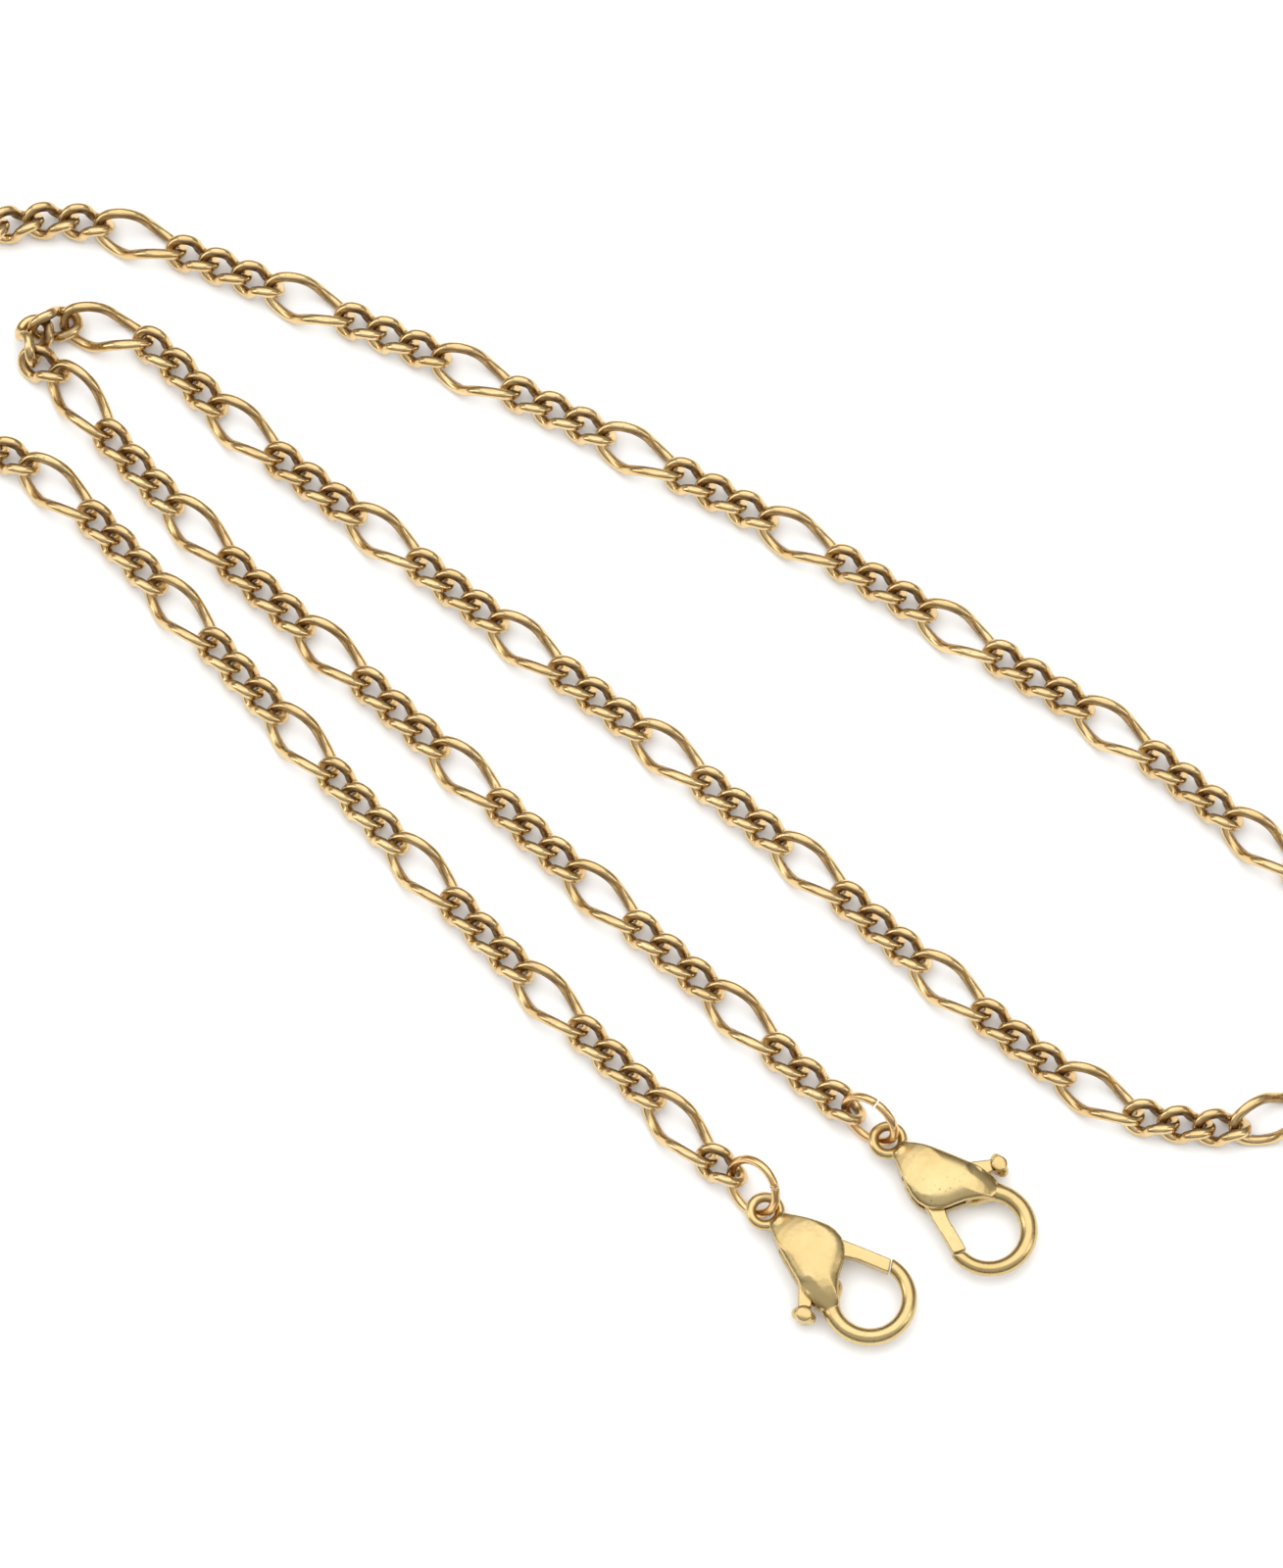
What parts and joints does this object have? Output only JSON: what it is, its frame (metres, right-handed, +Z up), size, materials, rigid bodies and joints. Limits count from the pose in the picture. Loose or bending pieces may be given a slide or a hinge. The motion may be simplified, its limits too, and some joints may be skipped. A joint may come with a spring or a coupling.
{
  "type": "pocket watch chain",
  "caption": "Figaro watch chain of one long link to three short twisted links, with a jump ring and a sprung lobster clasp at each end.",
  "frame": {"origin": "centre of the laid-out chain's box, on the surface it lies on", "axes": "+Z up from that surface, +X to the right and +Y to the far side of the layout, seen from above with the clasps nearest"},
  "size_m": [0.1052, 0.0834, 0.0044],
  "materials": {
    "chain_gold": "polished pale gold plate",
    "ring_gold": "polished warm gold plate",
    "clasp_gold": "tumbled pale gold plate on a casting",
    "pin_gold": "polished pin ends",
    "spring_steel": "bright leaf spring"
  },
  "bodies": {
    "end_link": {"end_link": "chain_gold"},
    "unit_01": {"unit_01": "chain_gold"},
    "unit_02": {"unit_02": "chain_gold"},
    "unit_03": {"unit_03": "chain_gold"},
    "unit_04": {"unit_04": "chain_gold"},
    "unit_05": {"unit_05": "chain_gold"},
    "unit_06": {"unit_06": "chain_gold"},
    "unit_07": {"unit_07": "chain_gold"},
    "unit_08": {"unit_08": "chain_gold"},
    "unit_09": {"unit_09": "chain_gold"},
    "unit_10": {"unit_10": "chain_gold"},
    "unit_11": {"unit_11": "chain_gold"},
    "unit_12": {"unit_12": "chain_gold"},
    "unit_13": {"unit_13": "chain_gold"},
    "unit_14": {"unit_14": "chain_gold"},
    "unit_15": {"unit_15": "chain_gold"},
    "unit_16": {"unit_16": "chain_gold"},
    "unit_17": {"unit_17": "chain_gold"},
    "unit_18": {"unit_18": "chain_gold"},
    "unit_19": {"unit_19": "chain_gold"},
    "unit_20": {"unit_20": "chain_gold"},
    "unit_21": {"unit_21": "chain_gold"},
    "unit_22": {"unit_22": "chain_gold"},
    "unit_23": {"unit_23": "chain_gold"},
    "unit_24": {"unit_24": "chain_gold"},
    "unit_25": {"unit_25": "chain_gold"},
    "unit_26": {"unit_26": "chain_gold"},
    "unit_27": {"unit_27": "chain_gold"},
    "unit_28": {"unit_28": "chain_gold"},
    "unit_29": {"unit_29": "chain_gold"},
    "unit_30": {"unit_30": "chain_gold"},
    "unit_31": {"unit_31": "chain_gold"},
    "unit_32": {"unit_32": "chain_gold"},
    "turn_link_1": {"turn_link_1": "chain_gold"},
    "turn_link_2": {"turn_link_2": "chain_gold"},
    "turn_link_3": {"turn_link_3": "chain_gold"},
    "jump_ring_1": {"jump_ring_1": "ring_gold"},
    "clasp_1": {"clasp_1_body": "clasp_gold", "clasp_1_pin": "pin_gold", "clasp_1_spring": "spring_steel"},
    "clasp_1_lever": {"clasp_1_lever": "clasp_gold"},
    "jump_ring_2": {"jump_ring_2": "ring_gold"},
    "clasp_2": {"clasp_2_body": "clasp_gold", "clasp_2_pin": "pin_gold", "clasp_2_spring": "spring_steel"},
    "clasp_2_lever": {"clasp_2_lever": "clasp_gold"}
  },
  "joints": [
    {"name": "swing_12", "type": "hinge", "parent": "unit_13", "child": "unit_12", "pos_m": [0.00976, 0.01781, 0.00125], "axis": [0.503, 0.8643, 0], "range_deg": [-20, 20]},
    {"name": "swing_11", "type": "hinge", "parent": "unit_12", "child": "unit_11", "pos_m": [-0.00162, 0.02409, 0.00125], "axis": [-0.4729, -0.8811, 0], "range_deg": [-20, 20]},
    {"name": "swing_10", "type": "hinge", "parent": "unit_11", "child": "unit_10", "pos_m": [-0.01322, 0.02996, 0.00125], "axis": [0.4286, 0.9035, 0], "range_deg": [-20, 20]},
    {"name": "swing_09", "type": "hinge", "parent": "unit_10", "child": "unit_09", "pos_m": [-0.02509, 0.03526, 0.00125], "axis": [-0.3976, -0.9175, 0], "range_deg": [-20, 20]},
    {"name": "swing_08", "type": "hinge", "parent": "unit_09", "child": "unit_08", "pos_m": [-0.03718, 0.04004, 0.00125], "axis": [0.2538, 0.9672, 0], "range_deg": [-12, 12]},
    {"name": "swing_07", "type": "hinge", "parent": "unit_08", "child": "unit_07", "pos_m": [-0.04933, 0.03726, 0.00125], "axis": [0.6764, -0.7366, 0], "range_deg": [-12, 12]},
    {"name": "swing_06", "type": "hinge", "parent": "unit_07", "child": "unit_06", "pos_m": [-0.04824, 0.02592, 0.00125], "axis": [-0.7559, -0.6547, 0], "range_deg": [-25, 25]},
    {"name": "swing_05", "type": "hinge", "parent": "unit_06", "child": "unit_05", "pos_m": [-0.03796, 0.01845, 0.00125], "axis": [0.6857, 0.7278, 0], "range_deg": [-25, 25]},
    {"name": "swing_04", "type": "hinge", "parent": "unit_05", "child": "unit_04", "pos_m": [-0.02937, 0.00901, 0.00125], "axis": [-0.743, -0.6693, 0], "range_deg": [-25, 25]},
    {"name": "swing_03", "type": "hinge", "parent": "unit_04", "child": "unit_03", "pos_m": [-0.02089, -0.00052, 0.00125], "axis": [0.7476, 0.6641, 0], "range_deg": [-25, 25]},
    {"name": "swing_02", "type": "hinge", "parent": "unit_03", "child": "unit_02", "pos_m": [-0.01233, -0.00999, 0.00125], "axis": [-0.7318, -0.6815, 0], "range_deg": [-25, 25]},
    {"name": "swing_01", "type": "hinge", "parent": "unit_02", "child": "unit_01", "pos_m": [-0.00348, -0.01918, 0.00125], "axis": [0.7072, 0.707, 0], "range_deg": [-25, 25]},
    {"name": "end_link_swing", "type": "hinge", "parent": "unit_01", "child": "end_link", "pos_m": [0.00528, -0.02844, 0.00125], "axis": [-0.745, 0.6671, 0], "range_deg": [-25, 25]},
    {"name": "swing_14", "type": "hinge", "parent": "unit_13", "child": "unit_14", "pos_m": [0.02081, 0.01097, 0.00125], "axis": [-0.544, -0.8391, 0], "range_deg": [-20, 20]},
    {"name": "swing_15", "type": "hinge", "parent": "unit_14", "child": "unit_15", "pos_m": [0.03171, 0.00389, 0.00125], "axis": [0.5748, 0.8183, 0], "range_deg": [-20, 20]},
    {"name": "swing_16", "type": "hinge", "parent": "unit_15", "child": "unit_16", "pos_m": [0.04183, -0.00424, 0.00125], "axis": [-0.6525, -0.7578, 0], "range_deg": [-20, 20]},
    {"name": "swing_17", "type": "hinge", "parent": "unit_16", "child": "unit_17", "pos_m": [0.05073, -0.01329, 0.00125], "axis": [0.9569, 0.2905, 0], "range_deg": [-10, 10]},
    {"name": "swing_18", "type": "hinge", "parent": "unit_17", "child": "unit_18", "pos_m": [0.04703, -0.02464, 0.00125], "axis": [-0.4811, 0.8766, 0], "range_deg": [-12, 12]},
    {"name": "swing_19", "type": "hinge", "parent": "unit_18", "child": "unit_19", "pos_m": [0.03456, -0.0255, 0.00125], "axis": [-0.3701, -0.929, 0], "range_deg": [-12, 12]},
    {"name": "swing_20", "type": "hinge", "parent": "unit_19", "child": "unit_20", "pos_m": [0.02423, -0.01802, 0.00125], "axis": [0.6461, 0.7633, 0], "range_deg": [-25, 25]},
    {"name": "swing_21", "type": "hinge", "parent": "unit_20", "child": "unit_21", "pos_m": [0.01467, -0.00955, 0.00125], "axis": [-0.6671, -0.745, 0], "range_deg": [-25, 25]},
    {"name": "swing_22", "type": "hinge", "parent": "unit_21", "child": "unit_22", "pos_m": [0.005, -0.0012, 0.00125], "axis": [0.6411, 0.7675, 0], "range_deg": [-25, 25]},
    {"name": "swing_23", "type": "hinge", "parent": "unit_22", "child": "unit_23", "pos_m": [-0.00492, 0.00683, 0.00125], "axis": [-0.622, -0.783, 0], "range_deg": [-25, 25]},
    {"name": "swing_24", "type": "hinge", "parent": "unit_23", "child": "unit_24", "pos_m": [-0.0149, 0.0148, 0.00125], "axis": [0.6241, 0.7814, 0], "range_deg": [-25, 25]},
    {"name": "swing_25", "type": "hinge", "parent": "unit_24", "child": "unit_25", "pos_m": [-0.02493, 0.02272, 0.00125], "axis": [-0.6386, -0.7696, 0], "range_deg": [-25, 25]},
    {"name": "swing_26", "type": "hinge", "parent": "unit_25", "child": "unit_26", "pos_m": [-0.0342, 0.03152, 0.00125], "axis": [0.4668, 0.8844, 0], "range_deg": [-10, 10]},
    {"name": "turn_link_1_swing", "type": "hinge", "parent": "unit_26", "child": "turn_link_1", "pos_m": [-0.03941, 0.03299, 0.00107], "axis": [0.012, -0.9999, 0], "range_deg": [-8, 8]},
    {"name": "turn_link_2_swing", "type": "hinge", "parent": "turn_link_1", "child": "turn_link_2", "pos_m": [-0.04196, 0.0325, 0.00154], "axis": [-0.7924, 0.61, 0], "range_deg": [-8, 8]},
    {"name": "turn_link_3_swing", "type": "hinge", "parent": "turn_link_2", "child": "turn_link_3", "pos_m": [-0.04237, 0.02989, 0.00148], "axis": [0.8645, 0.5027, 0], "range_deg": [-8, 8]},
    {"name": "swing_27", "type": "hinge", "parent": "turn_link_3", "child": "unit_27", "pos_m": [-0.04004, 0.02895, 0.00122], "axis": [-0.6478, -0.7618, 0], "range_deg": [-8, 8]},
    {"name": "swing_28", "type": "hinge", "parent": "unit_27", "child": "unit_28", "pos_m": [-0.03191, 0.01888, 0.00125], "axis": [0.728, 0.6856, 0], "range_deg": [-20, 20]},
    {"name": "swing_29", "type": "hinge", "parent": "unit_28", "child": "unit_29", "pos_m": [-0.02261, 0.00983, 0.00125], "axis": [-0.6801, -0.7331, 0], "range_deg": [-20, 20]},
    {"name": "swing_30", "type": "hinge", "parent": "unit_29", "child": "unit_30", "pos_m": [-0.01316, 0.00094, 0.00125], "axis": [0.6876, 0.7261, 0], "range_deg": [-20, 20]},
    {"name": "swing_31", "type": "hinge", "parent": "unit_30", "child": "unit_31", "pos_m": [-0.00375, -0.00801, 0.00125], "axis": [-0.6809, -0.7324, 0], "range_deg": [-20, 20]},
    {"name": "swing_32", "type": "hinge", "parent": "unit_31", "child": "unit_32", "pos_m": [0.0059, -0.01668, 0.00125], "axis": [0.6786, 0.7346, 0], "range_deg": [-20, 20]},
    {"name": "jump_ring_1_swing", "type": "hinge", "parent": "end_link", "child": "jump_ring_1", "pos_m": [0.00735, -0.02998, 0.00112], "axis": [0.8877, 0.4605, 0], "range_deg": [-15, 15]},
    {"name": "clasp_1_swing", "type": "hinge", "parent": "jump_ring_1", "child": "clasp_1", "pos_m": [0.01002, -0.0323, 0.00161], "axis": [0.6561, 0.7547, 0], "range_deg": [-2, 15]},
    {"name": "clasp_1_gate", "type": "hinge", "parent": "clasp_1", "child": "clasp_1_lever", "pos_m": [0.01295, -0.03515, 0.00142], "axis": [0, 0, 1], "range_deg": [-25, 0], "stiffness_Nm_per_rad": 0.003, "springref_deg": 5.73},
    {"name": "jump_ring_2_swing", "type": "hinge", "parent": "unit_32", "child": "jump_ring_2", "pos_m": [0.01467, -0.02529, 0.00181], "axis": [0.7127, 0.7015, 0], "range_deg": [-5, 15]},
    {"name": "clasp_2_swing", "type": "hinge", "parent": "jump_ring_2", "child": "clasp_2", "pos_m": [0.01703, -0.02714, 0.00112], "axis": [0.682, 0.7314, 0], "range_deg": [-6, 15]},
    {"name": "clasp_2_gate", "type": "hinge", "parent": "clasp_2", "child": "clasp_2_lever", "pos_m": [0.021, -0.03052, 0.00142], "axis": [0, 0, -1], "range_deg": [-25, 0], "stiffness_Nm_per_rad": 0.003, "springref_deg": 5.73}
  ]
}
